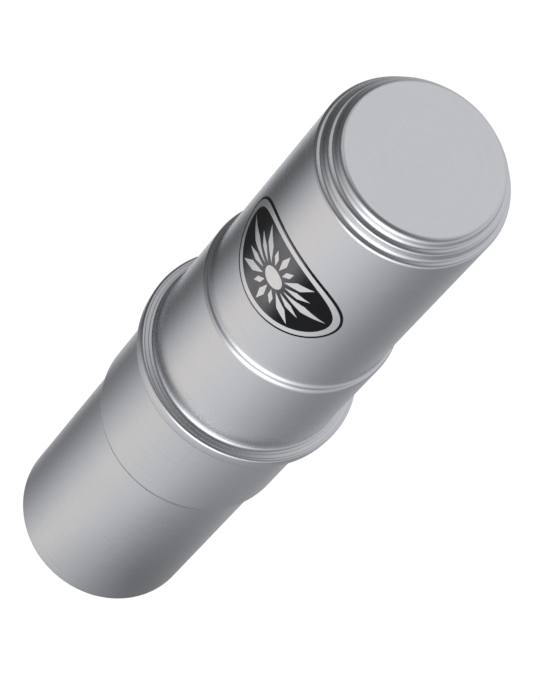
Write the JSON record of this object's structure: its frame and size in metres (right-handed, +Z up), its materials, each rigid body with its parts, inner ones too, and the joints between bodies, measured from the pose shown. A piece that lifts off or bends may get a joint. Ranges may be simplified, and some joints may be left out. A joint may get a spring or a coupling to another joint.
{
  "type": "ganza shaker",
  "caption": "Hand-held metal tube shaker: two stepped spun cups seamed mouth to mouth at a raised rim, with loose shot sealed inside and a label on the upper tube.",
  "frame": {"origin": "middle of the flat lower end, on which the shaker stands", "axes": "+Z up the shaker's axis towards the end that carries the label, -Y out through the middle of the label"},
  "size_m": [0.0602, 0.0602, 0.246],
  "materials": {
    "spun_aluminium": "satin, turned",
    "label_foil": "gloss print on silver foil",
    "steel_shot": "bright steel"
  },
  "bodies": {
    "shaker": {"upper_cup": "spun_aluminium", "lower_cup": "spun_aluminium", "label": "label_foil"},
    "shot_1": {"steel_shot_1": "steel_shot"},
    "shot_2": {"steel_shot_2": "steel_shot"},
    "shot_3": {"steel_shot_3": "steel_shot"},
    "shot_4": {"steel_shot_4": "steel_shot"}
  },
  "joints": [
    {"name": "shot_run", "type": "slide", "parent": "shaker", "child": "shot_1", "axis": [0, 0, 1], "range_m": [0, 0.2]},
    {"name": "shot_spread_2", "type": "slide", "parent": "shot_1", "child": "shot_2", "axis": [0, 0, 1], "range_m": [0, 0.009]},
    {"name": "shot_spread_3", "type": "slide", "parent": "shot_2", "child": "shot_3", "axis": [0, 0, 1], "range_m": [0, 0.009]},
    {"name": "shot_spread_4", "type": "slide", "parent": "shot_3", "child": "shot_4", "axis": [0, 0, 1], "range_m": [0, 0.009]}
  ]
}
